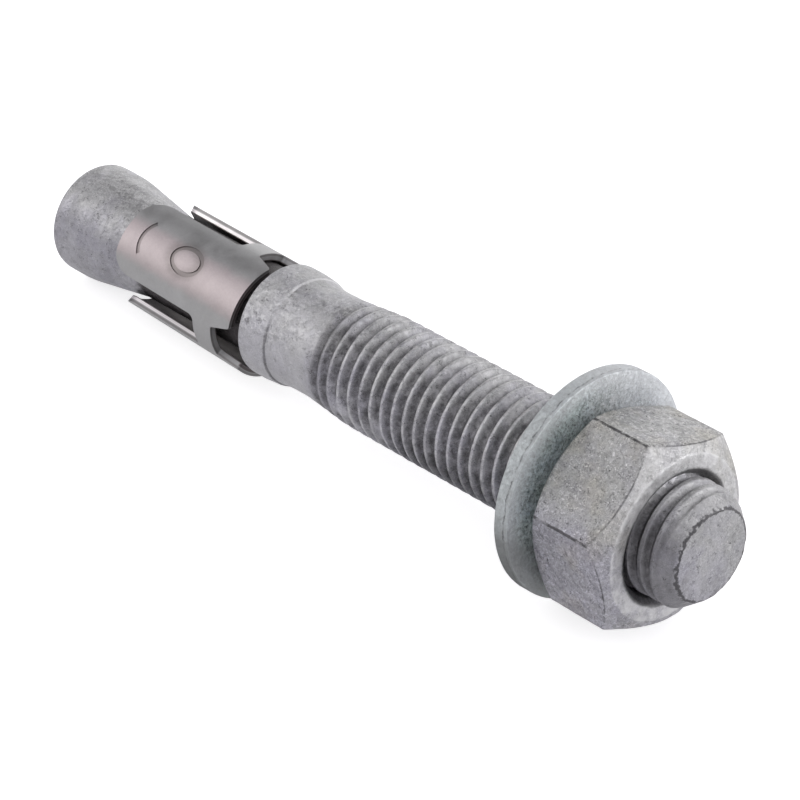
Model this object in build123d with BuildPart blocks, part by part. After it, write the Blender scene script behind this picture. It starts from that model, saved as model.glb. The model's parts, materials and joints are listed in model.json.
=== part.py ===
from build123d import *
from math import atan2, cos, radians, sin, tan
import os

# Wedge anchor, M16 x 115: a one-piece stud with an expansion clip, a flat washer and a hex nut.
#
# Millimetres, +Z up. The anchor lies on its side on the plane Z = 0, touching it with the rim of
# the washer and with the edge of the cone, so its own axis climbs gently from the cone to the
# threaded end, which points to +X. The origin is under the middle of the anchor's bounding box.
#
# Stations are counted along the stud's axis from the cone's end face towards the threaded end.
# Angles round an axis are seen from the threaded end's side: 0 is level, 90 is up.

# ---- driving dimensions -------------------------------------------------------------------

# stud, piece by piece from the cone's end face
stud_length = 115.0
land_diameter = 15.64  # behind the end face, a little under the drilled hole
land_length = 4.6
end_chamfer = 0.6
cone_length = 11.1
neck_diameter = 12.2  # the expansion clip rides here
neck_length = 23.4
neck_bevel = 0.3  # in the corner under the collar
collar_diameter = 15.64  # pushes the clip down the hole
collar_length = 2.6
collar_chamfer = 0.4
shoulder_length = 2.0  # behind the collar the stud narrows to a step
shoulder_diameter = 15.24
step_length = 0.5
step_diameter = 14.84
shank_diameter = 14.28  # blank of the rolled thread, smaller than its crests
shank_lead_in = 3.0
shank_length = 2.4
shank_lead_out = 3.7
run_out_length = 4.0
run_out_diameter = 14.96
thread_diameter = 15.74
thread_start_diameter = 15.42  # the first turns are rolled a little lower
thread_start_length = 3.2
tip_diameter = 11.94
tip_chamfer_length = 2.3

# hex nut
nut_across_flats = 23.7
nut_height = 13.0
nut_play = 0.32  # how far the loose nut drops on the thread
nut_countersink_diameter = 17.5
nut_face_diameter = 21.4  # ring left flat by the outer chamfer
nut_bearing_diameter = 19.8  # the same on the washer's side
nut_chamfer_angle = 32.5
nut_turn = 40.9  # angle of one corner
thread_showing = 5.85  # stud standing out of the nut

# flat washer
washer_diameter = 29.8
washer_bore_diameter = 17.6
washer_thickness = 2.1
washer_edge_chamfer = 0.25
washer_gap = 0.05  # between the two faces, the nut being only finger-tight

# expansion clip, rolled from sheet and open at a seam
sheet_thickness = 1.0
clip_length = 23.8
clip_diameter = 16.1  # at the collar's end
clip_tip_diameter = 15.74
clip_to_collar = 1.8
leaf_lift = 0.25  # leaves stand off the cone until the stud is pulled
leaf_count = 3
leaf_turn = 128.2  # angle of the middle of the leaf at the top
leaf_corner_radius = 3.0
slot_angle = 36.0
slot_length = 16.7
slot_corner_radius = 0.9
notch_corner_radius = 0.4
web_length = 3.6
notch_angle = 35.0  # at its bottom
notch_mouth_angle = 51.0
seam_closing = 12.0  # the slot and the notch over the seam are narrower by this angle
seam_width = 0.6
crease_radius = 4.0
crease_from_tip = 3.2
crease_angle = 72.0
crease_depth = 0.15
ring_from_tip = 12.4  # an oval ring is stamped into the leaf at the top
ring_length = 6.0
ring_breadth = 4.2
stamp_width = 0.65  # of the lines of creases and ring

# clearance of round faces that hang or ride on each other
running_gap = 0.03

# ---- derived sizes and places -------------------------------------------------------------

land_radius = land_diameter / 2
neck_radius = neck_diameter / 2
thread_radius = thread_diameter / 2
thread_start_radius = thread_start_diameter / 2
tip_radius = tip_diameter / 2
neck_start = land_length + cone_length
cone_slope = (land_radius - neck_radius) / cone_length
collar_start = neck_start + neck_length
collar_end = collar_start + collar_length
step_start = collar_end + shoulder_length
shank_start = step_start + step_length + shank_lead_in
shank_end = shank_start + shank_length
run_out_start = shank_end + shank_lead_out
thread_full = run_out_start + run_out_length
tip_chamfer_start = stud_length - tip_chamfer_length

nut_front = stud_length - thread_showing
nut_back = nut_front - nut_height
nut_bore_radius = thread_radius + nut_play + running_gap

washer_radius = washer_diameter / 2
washer_bore_radius = washer_bore_diameter / 2
washer_lift = washer_bore_radius - thread_radius - running_gap  # the stud lies in its bore
washer_front = nut_back - washer_gap
washer_back = washer_front - washer_thickness

clip_radius = clip_diameter / 2
clip_tip_radius = clip_tip_diameter / 2
clip_collar_end = collar_start - clip_to_collar
clip_tip_end = clip_collar_end - clip_length
cone_radius_at_tip = neck_radius + cone_slope * max(neck_start - clip_tip_end, 0)
clip_drop = clip_radius - sheet_thickness - neck_radius - running_gap
clip_tip_drop = clip_tip_radius - sheet_thickness - cone_radius_at_tip - leaf_lift

# The plane Z = 0 touches the edges of the washer's cone-side rim and of the cone's end.
rim_run = washer_back + washer_edge_chamfer - end_chamfer
rim_fall = washer_radius - washer_lift - land_radius
lie = atan2(rim_fall, rim_run)
along = Vector(cos(lie), 0, sin(lie))
upward = Vector(-sin(lie), 0, cos(lie))
tip_reach = stud_length * cos(lie) + tip_radius * sin(lie)
end_reach = (land_radius - end_chamfer) * sin(lie)
end_height = land_radius * cos(lie) - end_chamfer * sin(lie)
end_centre = Vector((end_reach - tip_reach) / 2, 0, end_height)


def beside_axis(station, height=0):
    """Point at a station of the stud's axis, raised square to the axis."""
    return end_centre + along * station + upward * height


def lengthways(height=0):
    """Plane through the axis, or through one beside it, for profiles that are revolved."""
    return Plane(beside_axis(0, height), x_dir=along, z_dir=(0, -1, 0))


def crossways(station, height=0):
    """Plane square to the axis, for profiles that are extruded along it."""
    return Plane(beside_axis(station, height), x_dir=(0, 1, 0), z_dir=along)


# ---- stud ---------------------------------------------------------------------------------

with BuildPart() as anchor_stud:
    with BuildSketch(lengthways()):
        with BuildLine():
            Polyline(
                (step_start + step_length, step_diameter / 2),
                (step_start, shoulder_diameter / 2),
                (collar_end, collar_diameter / 2),
                (collar_start + collar_chamfer, collar_diameter / 2),
                (collar_start, collar_diameter / 2 - collar_chamfer),
                (collar_start, neck_radius + neck_bevel),
                (collar_start - neck_bevel, neck_radius),
                (neck_start, neck_radius),
                (land_length, land_radius),
                (end_chamfer, land_radius),
                (0, land_radius - end_chamfer),
                (0, 0),
                (stud_length, 0),
                (stud_length, tip_radius),
                (tip_chamfer_start, thread_start_radius),
                (tip_chamfer_start - thread_start_length, thread_start_radius),
                (tip_chamfer_start - thread_start_length, thread_radius),
                (thread_full, thread_radius),
                (run_out_start, run_out_diameter / 2),
            )
            Spline(
                (run_out_start, run_out_diameter / 2),
                (shank_end, shank_diameter / 2),
                tangents=((-1, -0.12), (-1, 0)),
            )
            Line((shank_end, shank_diameter / 2), (shank_start, shank_diameter / 2))
            Spline(
                (shank_start, shank_diameter / 2),
                (step_start + step_length, step_diameter / 2),
                tangents=((-1, 0), (-1, 0.12)),
            )
        make_face()
    revolve(axis=Axis(end_centre, along))
anchor_stud.part.label = "anchor_stud"

# ---- washer and nut -----------------------------------------------------------------------

with BuildPart() as flat_washer:
    with BuildSketch(crossways(washer_back, washer_lift)):
        Circle(washer_radius)
        Circle(washer_bore_radius, mode=Mode.SUBTRACT)
    extrude(amount=washer_thickness)
    outer_edges = flat_washer.edges().filter_by(GeomType.CIRCLE).group_by(Edge.length)[-1]
    chamfer(outer_edges, length=washer_edge_chamfer)
flat_washer.part.label = "flat_washer"

nut_corner_radius = nut_across_flats / 2 / cos(radians(30))
nut_face_radius = nut_face_diameter / 2
nut_bearing_radius = nut_bearing_diameter / 2
nut_mouth_radius = nut_countersink_diameter / 2
nut_mouth_depth = nut_mouth_radius - nut_bore_radius
chamfer_slope = tan(radians(nut_chamfer_angle))

with BuildPart() as hex_nut:
    with BuildSketch(crossways(nut_back, -nut_play)):
        RegularPolygon(nut_corner_radius, 6, rotation=nut_turn)
    extrude(amount=nut_height)
    # One turned outline gives the bore, its two countersinks and the two outer chamfers.
    with BuildSketch(lengthways(-nut_play)):
        with BuildLine():
            Polyline(
                (nut_back, nut_mouth_radius),
                (nut_back, nut_bearing_radius),
                (nut_back + (nut_corner_radius - nut_bearing_radius) * chamfer_slope, nut_corner_radius),
                (nut_front - (nut_corner_radius - nut_face_radius) * chamfer_slope, nut_corner_radius),
                (nut_front, nut_face_radius),
                (nut_front, nut_mouth_radius),
                (nut_front - nut_mouth_depth, nut_bore_radius),
                (nut_back + nut_mouth_depth, nut_bore_radius),
                close=True,
            )
        make_face()
    revolve(axis=Axis(beside_axis(0, -nut_play), along), mode=Mode.INTERSECT)
hex_nut.part.label = "hex_nut"

# ---- expansion clip -----------------------------------------------------------------------

# The clip hangs on the neck, so it has an axis of its own, a little lower at the collar's end.
clip_tip_centre = beside_axis(clip_tip_end, -clip_tip_drop)
clip_collar_centre = beside_axis(clip_collar_end, -clip_drop)
clip_along = (clip_collar_centre - clip_tip_centre).normalized()
clip_axis = Axis(clip_tip_centre, clip_along)
leaf_angle = (360 + seam_closing) / leaf_count - slot_angle
leaf_pitch = leaf_angle + slot_angle
first_leaf_turn = leaf_turn - leaf_pitch * (leaf_count - 1) / 2
seam_turn = leaf_turn + 180  # the two ends of the sheet meet at the back
web_start = slot_length + web_length


def clip_crossways(station):
    """Plane square to the clip's own axis, at a station counted from the leaves' tips."""
    return Plane(clip_tip_centre + clip_along * station, x_dir=(0, 1, 0), z_dir=clip_along)


def wedge_corners(turn, angle, reach=clip_diameter):
    """Corners of a wedge that opens from the axis by an angle, about a direction."""
    sides = (radians(turn - angle / 2), radians(turn + angle / 2))
    return [(0, 0)] + [(reach * cos(side), reach * sin(side)) for side in sides]


def clip_outward(turn):
    """Direction square to the clip's axis, at an angle round it."""
    level = Vector(0, 1, 0)
    return level * cos(radians(turn)) + clip_along.cross(level) * sin(radians(turn))


def clip_lengthways(turn):
    """Plane through the clip's axis, with local X along the clip and local Y outwards."""
    return Plane(clip_tip_centre, x_dir=clip_along, z_dir=clip_along.cross(clip_outward(turn)))


def leaf_tangent_plane(turn, station, height):
    """Plane over the sheet, facing outwards, with local X along the clip."""
    middle = clip_tip_centre + clip_along * station + clip_outward(turn) * height
    return Plane(middle, x_dir=clip_along, z_dir=clip_outward(turn))


# A band round the clip that reaches into the sheet by the depth of the stamped lines.
with BuildPart() as skin:
    with BuildSketch(clip_lengthways(seam_turn)):
        Polygon(
            (0, clip_tip_radius - crease_depth),
            (0, clip_diameter),
            (clip_length, clip_diameter),
            (clip_length, clip_radius - crease_depth),
            align=None,
        )
    revolve(axis=clip_axis)

# The crease is an arc, bent towards the leaf's tip.
crease_station = crease_from_tip + crease_radius
with BuildPart() as crease:
    with BuildSketch(leaf_tangent_plane(leaf_turn, crease_station, clip_diameter)):
        Circle(crease_radius + stamp_width / 2)
        Circle(crease_radius - stamp_width / 2, mode=Mode.SUBTRACT)
        Polygon(*wedge_corners(180, crease_angle), align=None, mode=Mode.INTERSECT)
    extrude(amount=-clip_diameter)
    add(skin.part, mode=Mode.INTERSECT)

with BuildPart() as ring:
    with BuildSketch(leaf_tangent_plane(leaf_turn, ring_from_tip, clip_diameter)):
        Ellipse(ring_length / 2, ring_breadth / 2)
        Ellipse(ring_length / 2 - stamp_width, ring_breadth / 2 - stamp_width, mode=Mode.SUBTRACT)
    extrude(amount=-clip_diameter)
    add(skin.part, mode=Mode.INTERSECT)


def pattern_corners(clip, station):
    """Edges straight through the sheet at a station: corners of its flat pattern, but not the seam's."""
    seam_plane = leaf_tangent_plane(seam_turn, station, 0)
    corners = []
    for edge in clip.edges().filter_by(GeomType.LINE):
        place = seam_plane.to_local_coords(edge.center())
        through = edge.length < 1.1 * sheet_thickness
        if through and abs(place.X) < sheet_thickness / 10 and abs(place.Y) > seam_width:
            corners.append(edge)
    return corners


with BuildPart() as expansion_clip:
    with BuildSketch(clip_lengthways(seam_turn)):
        Polygon(
            (0, clip_tip_radius - sheet_thickness),
            (0, clip_tip_radius),
            (clip_length, clip_radius),
            (clip_length, clip_radius - sheet_thickness),
            align=None,
        )
    revolve(axis=clip_axis)

    # A slot and a notch follow each leaf, the last ones over the seam.
    for leaf in range(leaf_count):
        over_seam = leaf == leaf_count - 1
        narrowing = seam_closing if over_seam else 0
        slot_turn = seam_turn if over_seam else first_leaf_turn + leaf_pitch * (leaf + 0.5)
        with BuildSketch(clip_crossways(0)):
            Polygon(*wedge_corners(slot_turn, slot_angle - narrowing), align=None)
        extrude(amount=slot_length, mode=Mode.SUBTRACT)
        # The notch widens towards the collar.
        with BuildSketch(clip_crossways(web_start)):
            Polygon(*wedge_corners(slot_turn, notch_angle - narrowing), align=None)
        with BuildSketch(clip_crossways(clip_length)):
            Polygon(*wedge_corners(slot_turn, notch_mouth_angle - narrowing), align=None)
        loft(ruled=True, mode=Mode.SUBTRACT)

    with BuildSketch(leaf_tangent_plane(seam_turn, clip_length / 2, 0)):
        Rectangle(clip_length, seam_width)
    extrude(amount=clip_diameter, mode=Mode.SUBTRACT)

    fillet(pattern_corners(expansion_clip, 0), radius=leaf_corner_radius)
    fillet(pattern_corners(expansion_clip, slot_length), radius=slot_corner_radius)
    fillet(pattern_corners(expansion_clip, web_start), radius=notch_corner_radius)
    fillet(pattern_corners(expansion_clip, clip_length), radius=notch_corner_radius)

    for leaf in range(leaf_count):
        crease_turn = first_leaf_turn + leaf_pitch * leaf - leaf_turn
        add(crease.part.rotate(clip_axis, crease_turn), mode=Mode.SUBTRACT)
    add(ring.part, mode=Mode.SUBTRACT)
expansion_clip.part.label = "expansion_clip"

# ---- export -------------------------------------------------------------------------------

os.makedirs("parts", exist_ok=True)
for piece in (anchor_stud, expansion_clip, flat_washer, hex_nut):
    export_step(piece.part, f"parts/{piece.part.label}.step")
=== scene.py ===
import json
from math import atan, cos, hypot, pi, radians, sin, tan

import bpy
import numpy as np
from mathutils import Matrix, Vector, noise


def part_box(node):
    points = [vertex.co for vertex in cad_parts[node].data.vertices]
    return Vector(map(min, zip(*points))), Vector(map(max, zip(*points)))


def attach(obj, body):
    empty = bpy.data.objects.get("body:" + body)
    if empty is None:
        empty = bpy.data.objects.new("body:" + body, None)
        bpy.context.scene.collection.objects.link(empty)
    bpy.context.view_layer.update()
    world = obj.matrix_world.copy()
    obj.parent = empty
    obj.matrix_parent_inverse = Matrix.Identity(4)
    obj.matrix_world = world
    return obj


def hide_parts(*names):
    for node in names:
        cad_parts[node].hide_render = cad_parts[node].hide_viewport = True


# Looks of a hot-dip galvanised wedge anchor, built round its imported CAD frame.
#
# The pieces are modelled in millimetres, each in its own frame: X runs along the piece's axis
# towards the threaded end, Y is level and Z is up. Stations are places along that axis, counted
# for the stud from the cone's end face. Angles round the axis go from level (0) to up (90 degrees).

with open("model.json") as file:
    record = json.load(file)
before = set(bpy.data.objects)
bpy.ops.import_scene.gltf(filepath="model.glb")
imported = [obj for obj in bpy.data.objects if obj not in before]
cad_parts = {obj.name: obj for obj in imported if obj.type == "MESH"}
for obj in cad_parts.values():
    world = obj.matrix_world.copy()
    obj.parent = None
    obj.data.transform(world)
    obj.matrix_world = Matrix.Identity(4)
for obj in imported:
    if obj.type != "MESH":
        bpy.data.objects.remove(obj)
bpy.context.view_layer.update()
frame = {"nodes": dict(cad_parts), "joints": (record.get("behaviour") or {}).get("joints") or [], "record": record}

MM = 0.001
TURN = 2 * pi
LONGEST_STEP = 0.7  # between the points of an outline
TIP_STEP = 0.6  # the same, on the stud's tip

# ---- sizes --------------------------------------------------------------------------------

# stud
HOLE_END_STATION = 2.6  # where the frame's hole_end mount lies on the axis
STUD_LENGTH = 115.0
LAND_RADIUS = 7.82
LAND_LENGTH = 4.6
NECK_RADIUS = 6.1
NECK_START = 15.7
COLLAR_START = 39.1
COLLAR_END = 41.7
STEP_START = 43.75
STEP_END = 44.1
SHOULDER_RADIUS = 7.62
STEP_RADIUS = 7.42
SHANK_RADIUS = 7.14
SHANK_START = 47.4
SHANK_END = 49.8
RUN_OUT_RADIUS = 7.48
RUN_OUT_START = 53.5
THREAD_FULL = 57.5
CREST_RADIUS = 7.87
FIRST_TURNS_RADIUS = 7.71
FIRST_TURNS_START = 109.5  # the first turns are the ones at the tip
TIP_CHAMFER_START = 112.7
TIP_RADIUS = 5.97
TIP_MESH_START = STUD_LENGTH - 0.55  # the thread's mesh ends here
CAP_RADIUS = 0.9  # of the last ring of both end faces, which a fan closes
STEP_LINE_STATION = 44.0  # a fine line runs round here, where the shoulder drops to the step

# thread, right-hand, on the stud and in the nut
PITCH = 2.0
CREST_PHASE = 111.58  # station of a crest on the stud's level side
CREST_HALF_WIDTH = 0.18
THREAD_DEPTH = 0.95
ROOT_RADIUS = CREST_RADIUS - THREAD_DEPTH
FLANK_POWER = 1.5  # makes the flanks steep and the roots wide and round
FADE_START = 51.9  # the thread is pressed into the shank from here
FADE_END = 53.6
FILLED_ANGLE = 196.0  # zinc has run into the thread on this side, near the shank
FILLED_SPREAD = 20.0
FILLED_END = 72.0
THREAD_SAMPLES = (  # places of the mesh's points from each crest, closest at the crest's edges
    -1, -0.84, -0.68, -0.52, -0.38, -0.27, -0.18, -0.08, 0.08, 0.18, 0.27, 0.38, 0.52, 0.68, 0.84
)
FIRST_TURNS_DEPTH = 0.9  # share of the thread's depth that the first turns have
THREAD_CLEARANCE = 0.40  # the nut's thread stands back from the stud's by this
FILLED_CLEARANCE = 0.10  # and stays this far off the crests' height, to clear filled turns
THREAD_GAP = 0.05  # the thread's first and last vertices stand off the plain ends by this
STUD_COLUMNS = 144

# nut
NUT_HEIGHT = 13.0
NUT_ACROSS_FLATS = 23.7
NUT_STATION = 102.65  # its middle, on the stud
NUT_CORNER = 40.9  # angle of one corner
NUT_FACE_RADIUS = 10.7
NUT_BEARING_RADIUS = 9.9
NUT_MOUTH_RADIUS = 8.75
NUT_CHAMFER = 32.5
NUT_CORNER_ROUNDING = 0.45
NUT_MOUTH_SLOPE = 1.05
NUT_MOUTH_EDGE = 0.12  # the mouth's edge is cut back by this
NUT_FACE_EDGE = 0.03  # drop at the rim of each face
NUT_SIDE_EDGE = 0.05  # draw-in at the chamfer's lower edge
NUT_SIDE_EDGE_DROP = 0.04
NUT_FLAT_INSET = 0.22  # the flats' own points start this far from the chamfers
NUT_LEAST_CHAMFER = 0.15
NUT_THREAD_INSET = 0.16  # the thread's mesh ends this far inside each face

# washer
WASHER_RADIUS = 14.9
WASHER_BORE_RADIUS = 8.8
WASHER_THICKNESS = 2.1
WASHER_EDGE = 0.25
WASHER_BORE_EDGE = 0.2
WASHER_COLUMNS = 180

# expansion clip, whose mesh is the CAD's own
CLIP_RADIUS = 7.96  # outside, at its middle
CLIP_TAPER = 0.0076  # change of radius with each millimetre towards the collar

# The ring pressed into the top leaf, from the clip's middle.
MARK_STATION = 0.1
MARK_LENGTH = 6.0
MARK_BREADTH = 4.2
MARK_ACROSS = (-0.786, -0.618)  # level and upright parts of the direction across it

# camera, level across: where it stands, and how it is turned down and round in degrees
CAMERA_PLACE = (248.84, -226.37, 251.30)
CAMERA_TILT = 54.02
CAMERA_TURN = 47.22
CAMERA_LENS = 146.46

# light: the world's level, and how much the floor glows for the camera and in reflections
WORLD_LEVEL = 1.0
WORLD_COLOUR = (0.99, 0.975, 1.02, 1)
KEY_COLOUR = (1.0, 0.985, 0.95)
FLOOR_SEEN = 0.65
FLOOR_MIRRORED = 0.25
FLOOR_GREY = 0.64
FLOOR_SIDE = 4.0  # in metres
SHADE_CARD_PLACE = (0.023, -0.012, 0.0003)  # a dim card seen only in reflections, standing in for the shade on the floor beside the anchor; lies on the floor, in metres

# ---- frames of the pieces -----------------------------------------------------------------

mounts = {mount["name"]: mount for mount in frame["record"]["mounts"]}
joints = {joint["name"]: joint for joint in frame["joints"]}
along = Vector(joints["clip_slide"]["axis"]).normalized()


def axis_frame(middle, axis):
    """Frame with X along an axis, Y level and Z up, square to both."""
    level = Vector((0, 1, 0))
    turned = Matrix((axis, level, axis.cross(level))).transposed()
    return Matrix.Translation(middle) @ turned.to_4x4()


def box_middle(node):
    low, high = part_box(node)
    return (low + high) / 2


stud_frame = axis_frame(Vector(mounts["hole_end"]["pos_m"]) - along * HOLE_END_STATION * MM, along)
nut_frame = axis_frame(Vector(joints["nut_spin"]["pos_m"]), along)
washer_frame = axis_frame(box_middle("flat_washer"), along)
clip_frame = axis_frame(
    Vector(mounts["expansion_zone"]["pos_m"]), Vector(mounts["expansion_zone"]["axis"]).normalized()
)


# ---- outlines and meshes ------------------------------------------------------------------


def softened(corners, steps=4):
    """Outline through corners (along, radius, rounding), each corner drawn as a short curve."""
    points = []
    for index, (x, r, rounding) in enumerate(corners):
        corner = np.array((x, r))
        if rounding == 0:
            points.append(corner)
            continue
        before = np.array(corners[index - 1][:2]) - corner
        after = np.array(corners[(index + 1) % len(corners)][:2]) - corner
        start = corner + before / hypot(*before) * rounding
        end = corner + after / hypot(*after) * rounding
        for step in range(steps + 1):
            t = step / steps
            points.append(start * (1 - t) ** 2 + corner * 2 * t * (1 - t) + end * t * t)
    return points


def refined(points, longest):
    """The same outline with no two points further apart than longest."""
    out = [points[0]]
    for a, b in zip(points, points[1:]):
        count = max(1, int(np.ceil(hypot(*(b - a)) / longest)))
        out += [a + (b - a) * (step + 1) / count for step in range(count)]
    return np.array(out)


def ring_points(x, r, angle):
    """Points at stations, radii and angles round the axis, as rows of X, Y, Z."""
    x, r, angle = np.broadcast_arrays(x, r, angle)
    return np.stack([x, r * np.cos(angle), r * np.sin(angle)], axis=-1).reshape(-1, 3)


def even_angles(columns):
    return np.arange(columns) * TURN / columns


def unevenness(points, width, seed):
    """Smooth values from about -1 to 1 at points in millimetres, as wide as width."""
    shift = Vector((seed * 31.7, seed * 17.3, seed * 11.9))
    return np.array([noise.noise(Vector(point) / width + shift) for point in points])


def zipped(left, right, stations):
    """Triangles between two chains of vertices that run the same way along the axis."""
    faces = []
    i = j = 0
    while i < len(left) - 1 or j < len(right) - 1:
        take_left = j == len(right) - 1 or (
            i < len(left) - 1 and stations[left[i + 1]] <= stations[right[j + 1]]
        )
        if take_left:
            faces.append((left[i], left[i + 1], right[j]))
            i += 1
        else:
            faces.append((left[i], right[j + 1], right[j]))
            j += 1
    return faces


def grid_faces(first, rows, columns):
    """Four-sided faces of a grid of rings that starts at vertex first."""
    faces = []
    for row in range(rows - 1):
        for column in range(columns):
            a = first + row * columns + column
            b = first + row * columns + (column + 1) % columns
            faces.append((a, a + columns, b + columns, b))
    return faces


def turned_over(faces):
    """The same faces, seen from the other side."""
    return [face[::-1] for face in faces]


def swell(points, share):
    """Moves points away from the axis, each by a share of its distance from it."""
    points[:, 1:] *= 1 + share[:, None]


def make_piece(name, points, faces, place, body, node, material):
    """Mesh object from points in millimetres, which rides a body and replaces a CAD node."""
    mesh = bpy.data.meshes.new(name)
    mesh.from_pydata((np.array(points) * MM).tolist(), [], faces)
    mesh.transform(place)
    mesh.validate()
    mesh.update()
    mesh.shade_smooth()
    piece = bpy.data.objects.new(name, mesh)
    bpy.context.scene.collection.objects.link(piece)
    piece.data.materials.append(material)
    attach(piece, body)
    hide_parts(node)


# ---- thread -------------------------------------------------------------------------------


def crest_outline(x):
    """Radius over the crests along the stud, from the plain shank to the tip's chamfer."""
    stations = (SHANK_END, RUN_OUT_START, THREAD_FULL, FIRST_TURNS_START - 2, FIRST_TURNS_START + 1,
                TIP_CHAMFER_START, STUD_LENGTH)
    radii = (SHANK_RADIUS, RUN_OUT_RADIUS, CREST_RADIUS, CREST_RADIUS, FIRST_TURNS_RADIUS,
             FIRST_TURNS_RADIUS, TIP_RADIUS)
    return np.interp(x, stations, radii)


def thread_shape(x, angle):
    """The thread's profile: 0 on a crest, 1 at the middle of a root."""
    phase = (x - CREST_PHASE - PITCH * angle / TURN) / PITCH
    away = np.abs(phase - np.round(phase)) * PITCH
    slope = np.clip((away - CREST_HALF_WIDTH) / (PITCH / 2 - CREST_HALF_WIDTH), 0, 1)
    return 1 - (1 - slope) ** FLANK_POWER


def zinc_fill(x, angle):
    """Share of the thread's depth that zinc has filled: a little all over, most on one side."""
    points = ring_points(x, CREST_RADIUS, angle)
    patchy = np.clip(0.5 + 1.4 * unevenness(points, 4.0, 21), 0, 1)
    beside = (np.degrees(angle) - FILLED_ANGLE + 180) % 360 - 180
    side = np.exp(-(beside / FILLED_SPREAD) ** 2) * np.clip((FILLED_END - x) / 8, 0, 1)
    little = np.clip(0.06 + 0.5 * unevenness(points, 1.6, 22), 0, 0.35)
    return np.clip(little + side * (0.35 + 0.6 * patchy), 0, 0.93)


def stud_thread_radius(x, angle):
    """Radius of the stud's threaded stretch."""
    crest = crest_outline(x)
    pressed = np.clip((x - FADE_START) / (FADE_END - FADE_START), 0, 1)
    depth = np.minimum(crest, CREST_RADIUS) - ROOT_RADIUS
    filled = crest - np.maximum(depth, 0) * thread_shape(x, angle) * pressed * (1 - zinc_fill(x, angle))
    cut = CREST_RADIUS - THREAD_DEPTH * thread_shape(x, angle) * FIRST_TURNS_DEPTH
    return np.where(x > FIRST_TURNS_START - 3, np.minimum(crest, cut), filled)


def thread_stations(low, high, angle):
    """Stations on one column of a thread's mesh: the same places on every turn."""
    offset = CREST_PHASE + PITCH * angle / TURN
    first = int(np.floor((low - offset) / PITCH)) - 1
    last = int(np.ceil((high - offset) / PITCH)) + 1
    stations = np.array([offset + turn * PITCH + place for turn in range(first, last)
                         for place in THREAD_SAMPLES])
    return stations[(stations > low) & (stations < high)]


def join_by_thread(rings, angles, column_points, start, end):
    """Joins two rings of vertices, which start at start and end, by a thread's mesh.

    rings are the points so far and column_points gives the thread's at an angle. Returns all
    the points and the thread's faces.
    """
    count = sum(len(ring) for ring in rings)
    chains = []
    for column, angle in enumerate(angles):
        points = column_points(angle)
        rings.append(points)
        chains.append([start + column, *range(count, count + len(points)), end + column])
        count += len(points)
    points = np.concatenate(rings)
    faces = []
    for chain, following in zip(chains, chains[1:] + chains[:1]):
        faces += zipped(chain, following, points[:, 0])
    return points, faces


# ---- stud ---------------------------------------------------------------------------------


def plain_stud_outline():
    """Outline from the middle of the cone's end face to the start of the thread."""
    corners = [
        (0, CAP_RADIUS, 0),
        (0, LAND_RADIUS, 0.6),
        (LAND_LENGTH, LAND_RADIUS, 1.6),
        (NECK_START, NECK_RADIUS, 0.4),
        (COLLAR_START, NECK_RADIUS, 0.3),
        (COLLAR_START, LAND_RADIUS, 0.4),
        (COLLAR_END, LAND_RADIUS, 0.35),
        (STEP_START, SHOULDER_RADIUS + 0.02, 0.06),
        (STEP_END, STEP_RADIUS - 0.03, 0.06),
        (SHANK_START - 1.6, SHANK_RADIUS + 0.04, 0.8),
        (SHANK_START, SHANK_RADIUS, 0),
    ]
    return refined(softened(corners), LONGEST_STEP)


def tip_outline():
    """Outline from the end of the thread's mesh to the middle of the tip's face."""
    start_radius = np.interp(TIP_MESH_START, (TIP_CHAMFER_START, STUD_LENGTH),
                             (FIRST_TURNS_RADIUS, TIP_RADIUS))
    corners = [
        (TIP_MESH_START, start_radius, 0),
        (STUD_LENGTH, TIP_RADIUS, 0.22),
        (STUD_LENGTH, CAP_RADIUS, 0),
    ]
    return refined(softened(corners), TIP_STEP)


def capped(points, faces, ring, middle_x, outward):
    """Closes a ring of vertices with a fan to one middle vertex."""
    middle = len(points)
    points.append((middle_x, 0, 0))
    for a, b in zip(ring, np.roll(ring, -1)):
        faces.append((middle, b, a) if outward else (middle, a, b))


def stud_column(angle):
    """Points of the stud's thread at one angle, between its plain ends."""
    low = SHANK_START + THREAD_GAP
    high = TIP_MESH_START - THREAD_GAP
    stations = thread_stations(low, high, angle)
    return ring_points(stations, stud_thread_radius(stations, angle), angle)


def make_stud(material):
    columns = STUD_COLUMNS
    angles = even_angles(columns)
    plain = plain_stud_outline()
    tip = tip_outline()
    rings = [ring_points(plain[:, :1], plain[:, 1:], angles)]
    rings.append(ring_points(tip[:, :1], tip[:, 1:], angles))
    first_tip = len(plain) * columns
    faces = grid_faces(0, len(plain), columns) + grid_faces(first_tip, len(tip), columns)
    points, threaded = join_by_thread(rings, angles, stud_column, first_tip - columns, first_tip)
    faces += threaded
    uneven_zinc(points)
    points = points.tolist()
    capped(points, faces, np.arange(columns), middle_x=0, outward=False)
    last_ring = first_tip + (len(tip) - 1) * columns
    last = np.arange(last_ring, last_ring + columns)
    capped(points, faces, last, middle_x=STUD_LENGTH, outward=True)
    make_piece("stud_galvanised", points, faces, stud_frame, "stud", "anchor_stud",
               material)


def uneven_zinc(points):
    """Moves points a few hundredths in and out, as a dipped coat does, more at the rough tip."""
    radius = np.hypot(points[:, 1], points[:, 2])
    change = 0.02 * unevenness(points, 1.1, 1) + 0.03 * unevenness(points, 3.5, 2) - 0.03
    thread = np.clip((points[:, 0] - FADE_START) / 2, 0, 1)
    change += thread * 0.03 * unevenness(points, 0.45, 3)
    tip = np.clip((points[:, 0] - TIP_CHAMFER_START) / 1.5, 0, 1) * np.clip(radius - TIP_RADIUS + 1.5, 0, 1)
    change += tip * (0.10 * unevenness(points, 0.9, 4) - 0.05)
    swell(points, change / np.maximum(radius, 1))


# ---- nut ----------------------------------------------------------------------------------


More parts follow.
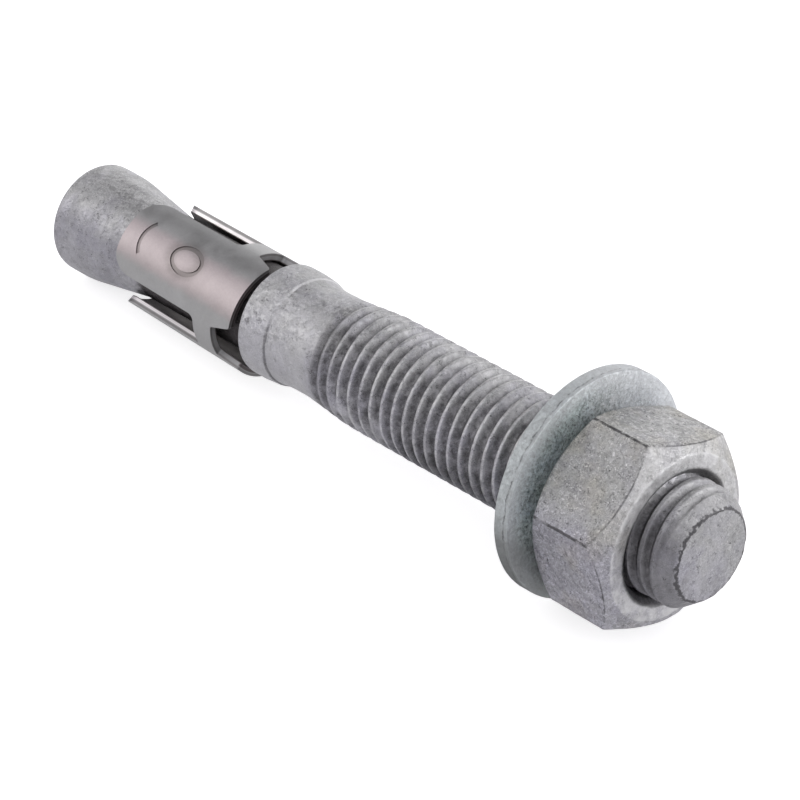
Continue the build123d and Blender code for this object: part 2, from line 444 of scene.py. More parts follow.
def hexagon_radius(angle):
    """Radius of a hexagon with rounded corners, from the nut's axis."""
    inner = NUT_ACROSS_FLATS / 2
    corner = radians(NUT_CORNER)
    off_corner = np.abs((angle - corner + pi / 6) % (pi / 3) - pi / 6)
    flat = inner / np.cos(pi / 6 - off_corner)
    centre = (inner - NUT_CORNER_ROUNDING) / cos(pi / 6)
    reach = NUT_CORNER_ROUNDING ** 2 - (centre * np.sin(off_corner)) ** 2
    round_corner = centre * np.cos(off_corner) + np.sqrt(np.maximum(reach, 0))
    tangent = atan(NUT_CORNER_ROUNDING * sin(pi / 6) / (centre + NUT_CORNER_ROUNDING * cos(pi / 6)))
    return np.where(off_corner < tangent, round_corner, flat)


def nut_angles():
    """Angles of the nut's columns, closer together at its corners."""
    places = np.concatenate([np.linspace(-1, 1, 9) * 1.1, np.linspace(2.2, 57.8, 24)])
    return np.sort(np.concatenate([radians(NUT_CORNER + 60 * side) + np.radians(places)
                                   for side in range(6)]) % TURN)


def nut_column(angle):
    """Outline of the nut's outside at one angle, from the front mouth round to the back mouth."""
    half = NUT_HEIGHT / 2
    slope = tan(radians(NUT_CHAMFER))
    reach = float(hexagon_radius(angle))
    front_drop = max(reach - NUT_FACE_RADIUS, NUT_LEAST_CHAMFER) * slope
    back_drop = max(reach - NUT_BEARING_RADIUS, NUT_LEAST_CHAMFER) * slope
    flat = NUT_HEIGHT - front_drop - back_drop - 2 * NUT_FLAT_INSET
    parts = [
        [(half - NUT_MOUTH_EDGE, NUT_MOUTH_RADIUS - NUT_MOUTH_EDGE), (half, NUT_MOUTH_RADIUS + 0.06)],
        [(half, r) for r in np.linspace(NUT_MOUTH_RADIUS + 0.5, NUT_FACE_RADIUS - 0.25, 4)],
        [(half - NUT_FACE_EDGE, NUT_FACE_RADIUS)],
        [(half - NUT_FACE_EDGE - front_drop * t, NUT_FACE_RADIUS + (reach - NUT_FACE_RADIUS) * t)
         for t in (0.15, 0.4, 0.65, 0.88)],
        [(half - NUT_FACE_EDGE - front_drop - NUT_SIDE_EDGE_DROP, reach - NUT_SIDE_EDGE)],
        [(half - front_drop - NUT_FLAT_INSET - flat * t, reach) for t in np.linspace(0, 1, 14)],
        [(-half + NUT_FACE_EDGE + back_drop + NUT_SIDE_EDGE_DROP, reach - NUT_SIDE_EDGE)],
        [(-half + NUT_FACE_EDGE + back_drop * t,
          NUT_BEARING_RADIUS + (reach - NUT_BEARING_RADIUS) * t)
         for t in (0.8, 0.4)],
        [(-half + NUT_FACE_EDGE, NUT_BEARING_RADIUS)],
        [(-half, NUT_BEARING_RADIUS - 0.3), (-half, NUT_MOUTH_RADIUS + 0.1)],
        [(-half + NUT_MOUTH_EDGE, NUT_MOUTH_RADIUS - NUT_MOUTH_EDGE)],
    ]
    return [point for part in parts for point in part]


def nut_column_inside(angle):
    """Points of the nut's inside at one angle: the thread, opened out at both mouths."""
    half = NUT_HEIGHT / 2
    reach = half - NUT_THREAD_INSET
    stations = thread_stations(NUT_STATION - reach, NUT_STATION + reach, angle)
    bore = CREST_RADIUS - THREAD_DEPTH * thread_shape(stations, angle) + THREAD_CLEARANCE
    bore = np.maximum(bore, CREST_RADIUS + FILLED_CLEARANCE)
    mouth = NUT_MOUTH_RADIUS - (half - np.abs(stations - NUT_STATION)) * NUT_MOUTH_SLOPE
    return ring_points(stations - NUT_STATION, np.maximum(bore, mouth), angle)


def make_nut(material):
    angles = nut_angles()
    columns = len(angles)
    outside = np.array([nut_column(angle) for angle in angles])
    rows = outside.shape[1]
    rings = [ring_points(outside[:, row, 0], outside[:, row, 1], angles) for row in range(rows)]
    faces = grid_faces(0, rows, columns)
    points, threaded = join_by_thread(rings, angles, nut_column_inside, (rows - 1) * columns, 0)
    faces = turned_over(faces + threaded)
    uneven_nut(points)
    make_piece("nut_galvanised", points, faces, nut_frame, "nut", "hex_nut",
               material)


def uneven_nut(points):
    """Draws the outside in a little, most at the edges, as blows and zinc do."""
    radius = np.hypot(points[:, 1], points[:, 2])
    outside = np.clip((radius - NUT_MOUTH_RADIUS) / 1.5, 0, 1)
    corner = np.clip((radius - NUT_ACROSS_FLATS / 2) / 1.6, 0, 1)
    change = -0.02 + 0.018 * unevenness(points, 1.6, 5) - corner * (
        0.06 + 0.10 * np.maximum(unevenness(points, 1.3, 6), 0))
    swell(points, outside * change / radius)


# ---- washer -------------------------------------------------------------------------------


def make_washer(material):
    columns = WASHER_COLUMNS
    angles = even_angles(columns)
    half = WASHER_THICKNESS / 2
    corners = [
        (half, WASHER_BORE_RADIUS, WASHER_BORE_EDGE),
        (half, WASHER_RADIUS, WASHER_EDGE),
        (-half, WASHER_RADIUS, WASHER_EDGE),
        (-half, WASHER_BORE_RADIUS, WASHER_BORE_EDGE),
    ]
    outline = refined(softened(corners), LONGEST_STEP)
    bore = refined([outline[-1], outline[0]], LONGEST_STEP)[1:-1]
    outline = np.concatenate([outline, bore])
    points = ring_points(outline[:, :1], outline[:, 1:], angles)
    rows = len(outline)
    faces = grid_faces(0, rows, columns)
    for column in range(columns):
        following = (column + 1) % columns
        last = (rows - 1) * columns
        faces.append((last + column, column, following, last + following))
    faces = turned_over(faces)
    radius = np.hypot(points[:, 1], points[:, 2])
    rim = np.clip(radius - WASHER_RADIUS + 1, 0, 1)
    change = rim * (-0.03 + 0.025 * unevenness(points, 1.5, 8))
    swell(points, change / radius)
    make_piece("washer_galvanised", points, faces, washer_frame, "washer", "flat_washer",
               material)


# ---- materials ----------------------------------------------------------------------------


def grey(level, tint=(1.0, 1.0, 1.0)):
    return tuple(level * part for part in tint) + (1.0,)


# colours of marks, and of painted shade and painted highlights
DIRT_AND_SHADE = grey(0.07, (1.0, 0.98, 1.02))
SCRATCH = grey(0.78)
FLECK = grey(0.08)
PIT = grey(0.08, (1.0, 0.98, 1.03))
NECK_SHADE = grey(0.02, (1.3, 1.0, 0.95))
CLIP_INSIDE_SHADE = grey(0.05, (1.3, 1.0, 0.95))
CLIP_EDGE_BURNISH_AND_HIGHLIGHT = grey(0.88, (1.02, 0.98, 0.98))
CLIP_EDGE_SHADE = grey(0.07, (1.25, 0.98, 0.95))
GROOVE_SHADE = grey(0.12, (1.1, 1.0, 0.95))
MARK_SHADE = grey(0.16, (1.1, 1.0, 0.95))

# Looks that cover only a stretch: where each starts, where it is full, where it stops being
# full and where it ends. Along the stud they are stations.
PALE_STRETCH = (37, 39, 50, 53)
LUMPY_STRETCH = (37, 39, 46, 50)
CRUSTED_STRETCH = (38.5, 39.5, 42, 47)
UNDER_CLIP_STRETCH = (15, 17, 38.6, 39.2)
THREADED_STRETCH = (52, 53.5, 112.2, 113.5)

# Through the clip's sheet they are depths under its outside.
SHEARED_DEPTHS = (0.40, 0.55, 0.84, 0.90)
GROOVE_DEPTHS = (0.05, 0.12, 0.32, 0.40)

FACING_LAMP = (1.15, 1.36)  # from none to all of it, as Graph.facing gives it


class Graph:
    """A material's node tree, with a short call for each kind of node used here.

    where is the surface's place in millimetres in the piece's own frame, x, y and z are its
    parts, and radius is its distance from the axis. paint, darken and bump add to the look.
    """

    def __init__(self, name, place, metallic):
        self.material = bpy.data.materials.new(name)
        self.material.use_nodes = True
        self.nodes = self.material.node_tree.nodes
        self.links = self.material.node_tree.links
        self.shader = self.nodes["Principled BSDF"]
        self.shader.inputs["Metallic"].default_value = metallic
        self.where = self.coordinates(place)
        self.x, self.y, self.z = self.split(self.where)
        self.radius = self.length(self.y, self.z)
        self.colour = None
        self.normal = None

    def put(self, socket, value):
        if isinstance(value, bpy.types.NodeSocket):
            self.links.new(value, socket)
        else:
            socket.default_value = value

    def coordinates(self, place):
        """The surface's place in millimetres, in the frame given."""
        turned = place.inverted()
        mapping = self.nodes.new("ShaderNodeMapping")
        mapping.inputs["Location"].default_value = turned.to_translation()
        mapping.inputs["Rotation"].default_value = turned.to_euler()
        self.put(mapping.inputs["Vector"], self.nodes.new("ShaderNodeTexCoord").outputs["Object"])
        scaled = self.nodes.new("ShaderNodeVectorMath")
        scaled.operation = "SCALE"
        self.put(scaled.inputs[0], mapping.outputs[0])
        scaled.inputs["Scale"].default_value = 1 / MM
        return scaled.outputs["Vector"]

    def split(self, where):
        node = self.nodes.new("ShaderNodeSeparateXYZ")
        self.put(node.inputs[0], where)
        return node.outputs

    def math(self, operation, a, b=0.0, third=0.0, clamp=False):
        node = self.nodes.new("ShaderNodeMath")
        node.operation = operation
        node.use_clamp = clamp
        self.put(node.inputs[0], a)
        self.put(node.inputs[1], b)
        self.put(node.inputs[2], third)
        return node.outputs[0]

    def product(self, first, *others):
        for other in others:
            first = self.math("MULTIPLY", first, other)
        return first

    def length(self, a, b):
        """Length of the long side of a right-angled triangle with the sides a and b."""
        return self.math("SQRT", self.math("ADD", self.product(a, a), self.product(b, b)))

    def spread(self, value, low, high, out_low=0.0, out_high=1.0):
        """Value mapped smoothly from low..high to out_low..out_high."""
        node = self.nodes.new("ShaderNodeMapRange")
        node.interpolation_type = "SMOOTHSTEP"
        for name, number in (("Value", value), ("From Min", low), ("From Max", high),
                             ("To Min", out_low), ("To Max", out_high)):
            self.put(node.inputs[name], number)
        return node.outputs[0]

    def between(self, value, start, full, full_end, end):
        """1 from full to full_end, and 0 up to start and from end on."""
        return self.product(self.spread(value, start, full), self.spread(value, end, full_end))

    def near_zero(self, value, outer, inner):
        """1 where a value is within inner of 0, and 0 from outer on."""
        return self.spread(self.math("ABSOLUTE", value), outer, inner)

    def noise(self, scale, detail=3.0, roughness=0.5, distortion=0.0, where=None):
        node = self.nodes.new("ShaderNodeTexNoise")
        self.put(node.inputs["Vector"], self.where if where is None else where)
        node.inputs["Scale"].default_value = scale
        node.inputs["Detail"].default_value = detail
        node.inputs["Roughness"].default_value = roughness
        node.inputs["Distortion"].default_value = distortion
        return node.outputs["Fac"]

    def ragged(self, value, amount, scale=1.3):
        """A length with a ragged change added, for a line that isn't drawn with a ruler."""
        change = self.math("SUBTRACT", self.noise(scale, 4, 0.7), 0.5)
        return self.math("MULTIPLY_ADD", change, amount, third=value)

    def stretch(self, turn, scale):
        """The surface's place turned and drawn out, for marks that run one way."""
        node = self.nodes.new("ShaderNodeMapping")
        self.put(node.inputs["Vector"], self.where)
        node.inputs["Rotation"].default_value = [radians(value) for value in turn]
        node.inputs["Scale"].default_value = scale
        return node.outputs[0]

    def up_and_back(self):
        """Height and place towards the back, added up, in millimetres."""
        return self.math("ADD", self.z, self.y)

    def facing(self):
        """1.41 where the surface faces halfway between up and the front, and less elsewhere."""
        return self.math("DIVIDE", self.math("SUBTRACT", self.z, self.y), self.radius)

    def paint(self, share, colour, blend="MIX"):
        """Lays a share of a colour over the look so far, or multiplies it in."""
        node = self.nodes.new("ShaderNodeMix")
        node.data_type = "RGBA"
        node.blend_type = blend
        self.put(node.inputs["Factor"], share)
        self.put(node.inputs["A"], self.colour)
        self.put(node.inputs["B"], colour)
        self.colour = node.outputs["Result"]

    def darken(self, *shares):
        """Lays a dark colour where all the shares are high: dirt in some places, painted shade in others."""
        self.paint(self.product(*shares), DIRT_AND_SHADE)

    def bump(self, height, depth):
        """Adds relief from a height of 0 to 1 that stands for a depth in millimetres."""
        node = self.nodes.new("ShaderNodeBump")
        node.inputs["Strength"].default_value = 1.0
        node.inputs["Distance"].default_value = depth * MM
        self.put(node.inputs["Height"], height)
        if self.normal is not None:
            self.put(node.inputs["Normal"], self.normal)
        self.normal = node.outputs[0]

    def finish(self, texture, roughness):
        """Ends the look, with a roughness that runs over a range with a texture."""
        self.put(self.shader.inputs["Base Color"], self.colour)
        self.put(self.shader.inputs["Roughness"], self.spread(texture, 0.3, 0.7, *roughness))
        self.put(self.shader.inputs["Normal"], self.normal)
        return self.material


def thin_lines(graph, where, scale, width, curl=1.2, share=0.5):
    """Thin winding broken lines, where a noise crosses its middle."""
    winding = graph.math("SUBTRACT", graph.noise(scale, 3, 0.6, curl, where), 0.5)
    lines = graph.near_zero(winding, width, width * 0.3)
    broken = graph.spread(graph.noise(scale * 1.1, 2, where=where), 0.98 - share, 1.08 - share)
    return graph.product(lines, broken)


def scratches(graph):
    """Short fine scratches that run and curl all ways."""
    turned = graph.stretch((30, 60, 20), (1.0, 1.0, 1.0))
    coarse = thin_lines(graph, graph.where, 1.0, 0.030, 2.6, 0.52)
    return graph.math("MAXIMUM", coarse, thin_lines(graph, turned, 1.7, 0.045, 2.2, 0.52))


def zinc(graph, dark, light, mottle, speckle, flecks, sand, grain):
    """Paints mottled zinc: soft patches, speckle, scratches, dark flecks and ragged pits.

    Mottle, speckle and flecks are strengths, sand is the speckle's depth in millimetres and
    grain is its scale. Returns the speckle.
    """
    patches = graph.noise(0.30, 5, 0.6, 0.6)
    fine = graph.noise(grain, 5, 0.9)
    shade = graph.math("MULTIPLY_ADD", patches, 4 * mottle, third=0.5 - 2 * mottle)
    tone = graph.math("MULTIPLY_ADD", fine, 4 * speckle, clamp=True,
                      third=graph.math("SUBTRACT", shade, 2 * speckle))
    graph.colour = dark
    graph.paint(tone, light)
    tinted = graph.spread(graph.noise(0.22, 3, 0.6), 0.42, 0.62)
    graph.paint(tinted, (0.97, 0.965, 1.01, 1), "MULTIPLY")
    scratched = scratches(graph)
    graph.paint(graph.product(scratched, flecks), SCRATCH)
    dark_flecks = thin_lines(graph, graph.where, 0.9, 0.014)
    graph.paint(graph.math("MULTIPLY", dark_flecks, flecks * 2, clamp=True), FLECK)
    drawn_out = graph.stretch((0, 0, 25), (1.0, 0.6, 0.8))
    pits = graph.spread(graph.noise(1.3, 3, 0.6, where=drawn_out), 0.70, 0.77)
    graph.paint(graph.product(pits, 0.7), PIT)
    graph.bump(patches, 0.06)
    graph.bump(fine, sand)
    graph.bump(scratched, sand * 0.6)
    marks = graph.math("MAXIMUM", pits, graph.product(dark_flecks, 0.5))
    graph.bump(graph.math("SUBTRACT", 1.0, marks), 0.04)
    return fine


def tint_and_paint_light_on_stud(graph, height):
    """Painted lavender light on the low side, pale zinc from the collar to the shank with painted light lower
    down, and painted shade under the cone.
    """
    uneven_height = graph.product(graph.noise(0.16, 3, 0.6), 14)
    # painted lavender light on the low side
    painted_lavender_light = graph.spread(graph.math("SUBTRACT", uneven_height, height), 5, 14)
    graph.paint(painted_lavender_light, (0.95, 0.94, 1.0, 1), "MULTIPLY")
    pale = graph.between(graph.x, *PALE_STRETCH)
    # paler lower down: painted light over the pale zinc
    pale_tone_and_painted_light = graph.spread(height, 6.5, 3.0, 0.06, 0.30)
    graph.paint(graph.product(pale, pale_tone_and_painted_light), grey(0.66))
    # painted shade on the low side of the cone
    painted_shade_under_cone = graph.product(graph.spread(graph.x, 17, 14), graph.spread(height, 2, -3))
    graph.paint(painted_shade_under_cone, grey(0.86), "MULTIPLY")


def shade_and_wear_thread(graph, height):
    """Dirt and painted shade in the thread's roots, less of it higher up, and wear with a painted highlight on its
    crests.
    """
    threaded = graph.between(graph.x, *THREADED_STRETCH)
    uneven = graph.ragged(graph.radius, 0.5)
    shaded_to = graph.spread(height, 1, 6, 7.84, 7.36)
    root = graph.spread(uneven, shaded_to, graph.math("SUBTRACT", shaded_to, 0.6))
    dirt_and_shade_patches = graph.spread(graph.noise(0.6, 6, 0.85), 0.34, 0.64, 0.40, 0.92)
    # dark roots: dirt, and painted shade that reaches further out lower down
    graph.darken(root, threaded, dirt_and_shade_patches)
    crest = graph.spread(graph.radius, CREST_RADIUS - 0.09, CREST_RADIUS)
    worn_and_highlit = graph.spread(graph.noise(1.1, 3, 0.6), 0.40, 0.62, 0.0, 0.55)
    # lighter crests: wear, and a painted highlight
    graph.paint(graph.product(crest, threaded, worn_and_highlit), grey(0.66))


def shade_and_mark_tip(graph, height):
    """Painted shade under the threaded end, and a ragged dark line round its face."""
    # painted shade on the low side of the threaded end
    low = graph.product(graph.spread(height, 4, -2), graph.spread(graph.radius, 5.8, 6.4))
    graph.darken(low, graph.spread(graph.x, 107.5, 108.5), 0.5)
    from_rim = graph.math("SUBTRACT", graph.ragged(graph.radius, 1.1), TIP_RADIUS - 0.05)
    rim = graph.near_zero(from_rim, 0.26, 0.1)
    graph.darken(rim, graph.spread(graph.x, 114.3, 114.6), 0.9)


def mark_step(graph, height):
    """Ragged line where the shoulder drops to the step: painted shade below and a painted highlight above."""
    from_step = graph.math("SUBTRACT", graph.ragged(graph.x, 0.3), STEP_LINE_STATION)
    ring = graph.near_zero(from_step, 0.22, 0.08)
    # painted shade on the line's low side
    graph.darken(ring, graph.spread(height, 0, -4), 0.6)
    # painted highlight on the line's high side
    graph.paint(graph.product(ring, graph.spread(height, 2, 6, 0, 0.5)), grey(0.85))


def crust_collar(graph):
    """Lumps of zinc from the collar to the shank, with dark crust and painted highlights on their tops, both on
    the side that faces the lamp.
    """
    facing = graph.facing()
    lumpy = graph.between(graph.x, *LUMPY_STRETCH)
    crusted = graph.between(graph.x, *CRUSTED_STRETCH)
    crust = graph.spread(graph.noise(1.0, 4, 0.7), 0.54, 0.66)
    graph.darken(crust, crusted, graph.spread(facing, *FACING_LAMP), 0.6)
    rough = graph.noise(1.4, 4, 0.65)
    graph.bump(graph.product(rough, lumpy), 0.30)
    # painted highlight on the lumps' tops, on the side facing the lamp
    painted_highlight_on_lumps = graph.product(graph.spread(rough, 0.5, 0.62), lumpy, graph.spread(facing, *FACING_LAMP))
    graph.paint(graph.product(painted_highlight_on_lumps, 0.5), grey(0.72))


def stud_material():
    graph = Graph("galvanised_stud", stud_frame, metallic=0.9)
    fine = zinc(graph, grey(0.24), grey(0.52), mottle=0.36, speckle=0.42, flecks=0.45, sand=0.045,
                grain=2.2)
    height = graph.up_and_back()
    tint_and_paint_light_on_stud(graph, height)
    shade_and_wear_thread(graph, height)
    shade_and_mark_tip(graph, height)
    # painted shade on the neck under the clip
    graph.paint(graph.product(graph.between(graph.x, *UNDER_CLIP_STRETCH), 0.9), NECK_SHADE)
    spots = graph.spread(graph.noise(0.45, 2, 0.4), 0.66, 0.76)
    graph.paint(graph.product(spots, 0.4), grey(0.16))
    mark_step(graph, height)
    crust_collar(graph)
    return graph.finish(fine, roughness=(0.34, 0.48))


def mark_nut_edges(graph, depth, streaks):
    """Pale chamfers with a painted highlight higher up, and broken dark lines along the corners and the chamfers'
    curved edges.
    """
    from_corner = graph.math("SUBTRACT", graph.math("ARCTAN2", graph.z, graph.y), radians(NUT_CORNER))
    turned = graph.math("ABSOLUTE", graph.math("WRAP", from_corner, pi / 6, third=-pi / 6))
    to_flat = graph.product(graph.radius, graph.math("COSINE", graph.math("SUBTRACT", pi / 6, turned)))
    on_flat = graph.spread(to_flat, NUT_ACROSS_FLATS / 2 - 0.25, NUT_ACROSS_FLATS / 2 - 0.12)
    across = graph.ragged(graph.product(turned, graph.radius), 0.3, 2.0)
    corner = graph.near_zero(across, 0.26, 0.12)
    cone = graph.math("MULTIPLY_ADD", depth, 1 / tan(radians(NUT_CHAMFER)), third=NUT_FACE_RADIUS)
    above = graph.ragged(graph.math("SUBTRACT", graph.radius, cone), 0.3, 2.0)
    curved_edge = graph.near_zero(above, 0.24, 0.1)
    chamfer = graph.product(graph.math("SUBTRACT", 1.0, on_flat), graph.spread(depth, 2.6, 1.6))
    # painted highlight, stronger on the upper chamfers
    painted_highlight_above = graph.spread(graph.z, 2, 9, 0.15, 0.5)
    graph.paint(graph.product(chamfer, painted_highlight_above, streaks), grey(0.78))
    broken = graph.spread(graph.noise(0.9, 3), 0.40, 0.52, 0.35, 0.9)
    graph.darken(graph.math("MAXIMUM", corner, curved_edge), on_flat, broken)


def nut_material():
    graph = Graph("galvanised_nut", nut_frame, metallic=0.85)
    fine = zinc(graph, grey(0.18, (1.0, 1.0, 0.98)), grey(0.50, (1.0, 1.0, 0.98)),
                mottle=0.26, speckle=0.8, flecks=0.9, sand=0.06, grain=2.4)
    stained = graph.spread(graph.noise(0.16, 3, 0.6), 0.45, 0.65)
    graph.paint(graph.product(stained, 0.5), (0.98, 0.94, 0.82, 1), "MULTIPLY")
    # painted lavender light on the nut's low side
    painted_lavender_light = graph.spread(graph.up_and_back(), -4, -9)
    graph.paint(painted_lavender_light, (0.90, 0.89, 0.98, 1), "MULTIPLY")
    depth = graph.math("SUBTRACT", NUT_HEIGHT / 2, graph.math("ABSOLUTE", graph.x))
    face = graph.spread(depth, 0.2, 0.05)
    streaks = graph.spread(graph.noise(0.7, 4, 0.6), 0.35, 0.65, 0.3, 0.8)
    graph.paint(graph.product(face, streaks), grey(0.74))
    mark_nut_edges(graph, depth, streaks)
    # painted shade in the nut's mouth
    mouth = graph.spread(graph.ragged(graph.radius, 0.5), NUT_MOUTH_RADIUS + 0.35, NUT_MOUTH_RADIUS)
    graph.darken(mouth, 0.75)
    return graph.finish(fine, roughness=(0.36, 0.54))


def washer_material():
    graph = Graph("galvanised_washer", washer_frame, metallic=0.75)
    fine = zinc(graph, grey(0.20, (0.88, 1.0, 0.97)), grey(0.84, (0.95, 1.0, 1.01)),
                mottle=0.3, speckle=1.2, flecks=0.7, sand=0.12, grain=2.2)
    teal = graph.spread(graph.y, 3, -4)
    graph.paint(graph.product(teal, 0.8), (0.90, 1.0, 0.97, 1), "MULTIPLY")
    # bluish tint with painted light on the back side
    bluish_tint_and_painted_light = graph.spread(graph.y, 1, 6)
    graph.paint(graph.product(bluish_tint_and_painted_light, 0.35), grey(0.85, (0.95, 0.99, 1.04)))
    # painted highlight on the outer part of the face
    outer = graph.spread(graph.ragged(graph.radius, 1.2, 0.5), 11.6, 14.4)
    graph.paint(graph.product(outer, 0.6), grey(0.90, (0.97, 1.0, 1.01)))
    # painted shade on the washer's low side
    low = graph.spread(graph.up_and_back(), -11, -17)
    graph.paint(graph.product(low, 0.6), grey(0.20))
    rim = graph.spread(graph.radius, WASHER_RADIUS - 0.16, WASHER_RADIUS - 0.10)
    graph.paint(rim, grey(0.68), "MULTIPLY")
    from_edge = graph.math("SUBTRACT", WASHER_THICKNESS / 2 - 0.45, graph.ragged(graph.x, 1.0, 0.7))
    line = graph.near_zero(from_edge, 0.15, 0.04)
    broken = graph.spread(graph.noise(1.4, 4), 0.40, 0.62, 0.1, 0.7)
    graph.darken(line, rim, broken)
    return graph.finish(fine, roughness=(0.32, 0.5))


def colour_clip_edges(graph, under_skin):
    """The sheet's cut edges: light beside the slots, burnish with a painted highlight, and painted shade at the
    collar.
    """
    sheared = graph.between(under_skin, *SHEARED_DEPTHS)
    beside_slot = graph.product(graph.spread(graph.x, 4.6, 3.8), 0.85)
    # bright burnish with a painted highlight beside the slots
    graph.paint(graph.product(sheared, beside_slot), CLIP_EDGE_BURNISH_AND_HIGHLIGHT)
    # painted shade on the cut edges at the collar
    shade_at_collar = graph.product(sheared, graph.spread(graph.x, 11.5, 11.7, 0.0, 0.8))
    graph.paint(shade_at_collar, CLIP_EDGE_SHADE)


def around_mark(graph):
    """1 near the pressed ring, fading to 0 inside and outside it."""
    away = graph.math("MULTIPLY_ADD", graph.z, MARK_ACROSS[1], third=graph.product(graph.y, MARK_ACROSS[0]))
    lengthways = graph.math("DIVIDE", graph.math("SUBTRACT", graph.x, MARK_STATION), MARK_LENGTH / 2)
    across = graph.math("DIVIDE", graph.ragged(away, 1.8, 0.45), MARK_BREADTH / 2)
    return graph.near_zero(graph.math("SUBTRACT", graph.length(lengthways, across), 0.9), 0.6, 0.0)


def clip_material():
    graph = Graph("clip_sheet", clip_frame, metallic=0.95)
    patches = graph.noise(0.35, 4, 0.6, 0.5)
    fine = graph.noise(3.0, 4, 0.8)
    tone = graph.math("MULTIPLY_ADD", fine, 0.6, third=graph.product(patches, 0.6), clamp=True)
    graph.colour = grey(0.25, (1.0, 0.99, 0.99))
    graph.paint(tone, grey(0.44))
    facing = graph.facing()
    # painted pinkish highlight on the band that faces the lamp
    pinkish_painted_highlight = graph.spread(graph.ragged(facing, 0.08, 0.5), 1.28, 1.38)
    graph.paint(pinkish_painted_highlight, (1.10, 0.98, 0.99, 1), "MULTIPLY")
    skin = graph.math("MULTIPLY_ADD", graph.x, CLIP_TAPER, third=CLIP_RADIUS)
    under_skin = graph.math("SUBTRACT", skin, graph.radius)
    # painted shade on the clip's inner surface
    inside = graph.spread(under_skin, 0.86, 0.94)
    graph.paint(graph.product(inside, 0.85), CLIP_INSIDE_SHADE)
    colour_clip_edges(graph, under_skin)
    grooved = graph.between(under_skin, *GROOVE_DEPTHS)
    graph.paint(graph.product(grooved, 0.5), GROOVE_SHADE)
    outer_side = graph.product(graph.spread(facing, 1.1, 1.3), graph.spread(under_skin, 0.4, 0.3))
    graph.paint(graph.product(around_mark(graph), outer_side, 0.45), MARK_SHADE)
    graph.bump(patches, 0.03)
    graph.bump(fine, 0.012)
    return graph.finish(patches, roughness=(0.42, 0.52))


# ---- stage --------------------------------------------------------------------------------


def glowing_material(name, level, glow):
    """A material and its shader: grey of a level, with no shine and a glow of its own."""
    material = bpy.data.materials.new(name)
    material.use_nodes = True
    shader = material.node_tree.nodes["Principled BSDF"]
    shader.inputs["Base Color"].default_value = grey(level)
    shader.inputs["Specular IOR Level"].default_value = 0.0
    shader.inputs["Emission Color"].default_value = (*glow, 1)
    return material, shader


def flat_sheet(name, width, height, material):
    x, y = width / 2, height / 2
    mesh = bpy.data.meshes.new(name)
    mesh.from_pydata([(-x, -y, 0), (x, -y, 0), (x, y, 0), (-x, y, 0)], [], [(0, 1, 2, 3)])
    sheet = bpy.data.objects.new(name, mesh)
    bpy.context.scene.collection.objects.link(sheet)
    sheet.data.materials.append(material)
    return sheet


def white_floor():
    """A pale floor that glows for the camera, so that it reads as white where nothing shades it."""
    material, shader = glowing_material("white_floor", FLOOR_GREY, (1, 1, 1))
    shader.inputs["Roughness"].default_value = 0.9
    nodes = material.node_tree.nodes
    links = material.node_tree.links
    rays = nodes.new("ShaderNodeLightPath")
    seen = nodes.new("ShaderNodeMath")
    seen.operation = "MAXIMUM"
    links.new(rays.outputs["Is Camera Ray"], seen.inputs[0])
    links.new(rays.outputs["Is Transmission Ray"], seen.inputs[1])
    bright = nodes.new("ShaderNodeMath")
    bright.operation = "MULTIPLY"
    bright.inputs[1].default_value = FLOOR_SEEN
    links.new(seen.outputs[0], bright.inputs[0])
    glossy = nodes.new("ShaderNodeMath")
    glossy.operation = "MULTIPLY_ADD"
    glossy.inputs[1].default_value = FLOOR_MIRRORED
    links.new(rays.outputs["Is Glossy Ray"], glossy.inputs[0])
    links.new(bright.outputs[0], glossy.inputs[2])
    links.new(glossy.outputs[0], shader.inputs["Emission Strength"])
    return material


def make_stage():
    floor = flat_sheet("floor", FLOOR_SIDE, FLOOR_SIDE, white_floor())


def aim(thing, direction, distance):
    """Places a thing at a direction and distance from the frame's origin, facing the origin."""
    towards = Vector(direction).normalized()
    thing.location = towards * distance
    thing.rotation_euler = towards.to_track_quat("Z", "Y").to_euler()


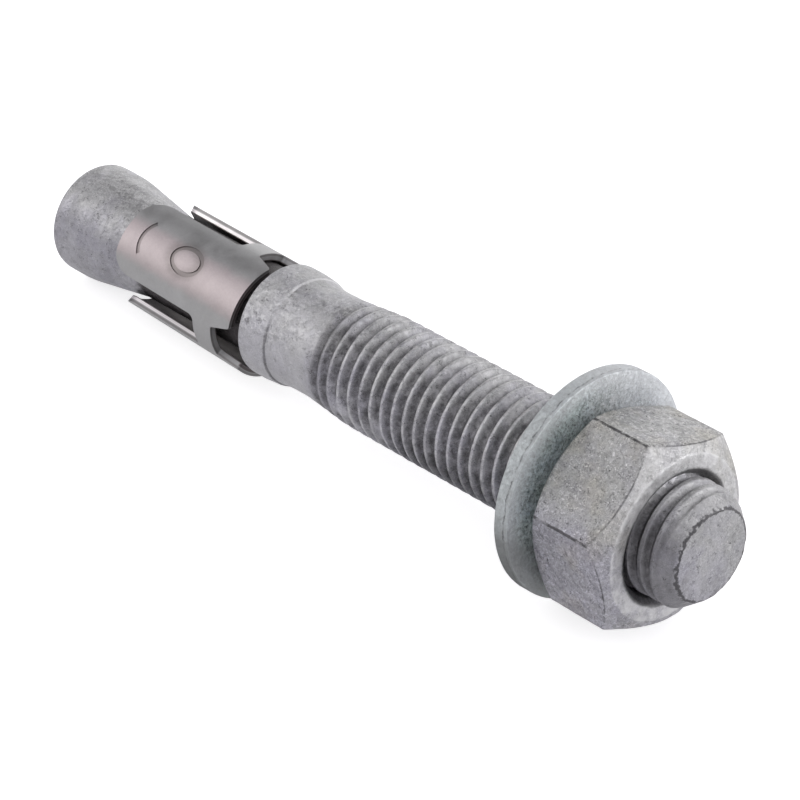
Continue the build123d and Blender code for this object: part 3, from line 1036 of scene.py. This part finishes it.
def area_light(name, direction, distance, size, power, colour=(1, 1, 1)):
    """Soft square light. Lengths are in metres."""
    light = bpy.data.lights.new(name, "AREA")
    light.shape = "SQUARE"
    light.size = size
    light.energy = power
    light.color = colour
    lamp = bpy.data.objects.new(name, light)
    bpy.context.scene.collection.objects.link(lamp)
    aim(lamp, direction, distance)


def card(name, direction, distance, width, height, level):
    """White studio card that only the metal's reflections see, with the brightness given."""
    material, shader = glowing_material(name, 0, (1, 1, 1))
    shader.inputs["Emission Strength"].default_value = level
    panel = flat_sheet(name, width, height, material)
    aim(panel, direction, distance)
    panel.visible_camera = False
    panel.visible_diffuse = False
    panel.visible_shadow = False
    return panel


def make_lights():
    world = bpy.data.worlds.new("studio")
    world.use_nodes = True
    background = world.node_tree.nodes["Background"]
    background.inputs["Color"].default_value = WORLD_COLOUR
    background.inputs["Strength"].default_value = WORLD_LEVEL
    bpy.context.scene.world = world
    area_light("key", (-0.594, -0.62, 0.50), distance=1.0, size=0.6, power=1.6, colour=KEY_COLOUR)
    area_light("rim", (0.74, 0.64, 0.17), distance=1.0, size=0.8, power=4.4)
    card("overhead_card", (-0.58, 0.38, 0.72), distance=1.3, width=1.3, height=1.0, level=0.20)
    card("back_card", (-0.55, 0.83, 0.10), distance=1.2, width=1.0, height=0.6, level=2.0)
    card("front_card", (-0.55, -0.83, 0.0), distance=1.1, width=1.1, height=0.5, level=0.22)
    card("side_card", (0.96, -0.35, 0.0), distance=1.1, width=1.3, height=0.6, level=0.08)
    # dim card on the floor beside the anchor, seen only in reflections: it stands in for the shade there
    low = card("floor_shade_card", (0, 0, 1), distance=0.0, width=0.026, height=0.014, level=0.15)
    low.location = SHADE_CARD_PLACE


def make_camera():
    data = bpy.data.cameras.new("camera")
    data.lens = CAMERA_LENS
    data.clip_start = 0.01
    camera = bpy.data.objects.new("camera", data)
    bpy.context.scene.collection.objects.link(camera)
    camera.location = Vector(CAMERA_PLACE) * MM
    camera.rotation_euler = (radians(CAMERA_TILT), 0, radians(CAMERA_TURN))
    bpy.context.scene.camera = camera


make_stud(stud_material())
make_nut(nut_material())
make_washer(washer_material())
clip_look = clip_material()
for slot in frame["nodes"]["expansion_clip"].material_slots:
    slot.material = clip_look
make_stage()
make_lights()
make_camera()

bpy.context.scene.view_settings.view_transform = "Standard"
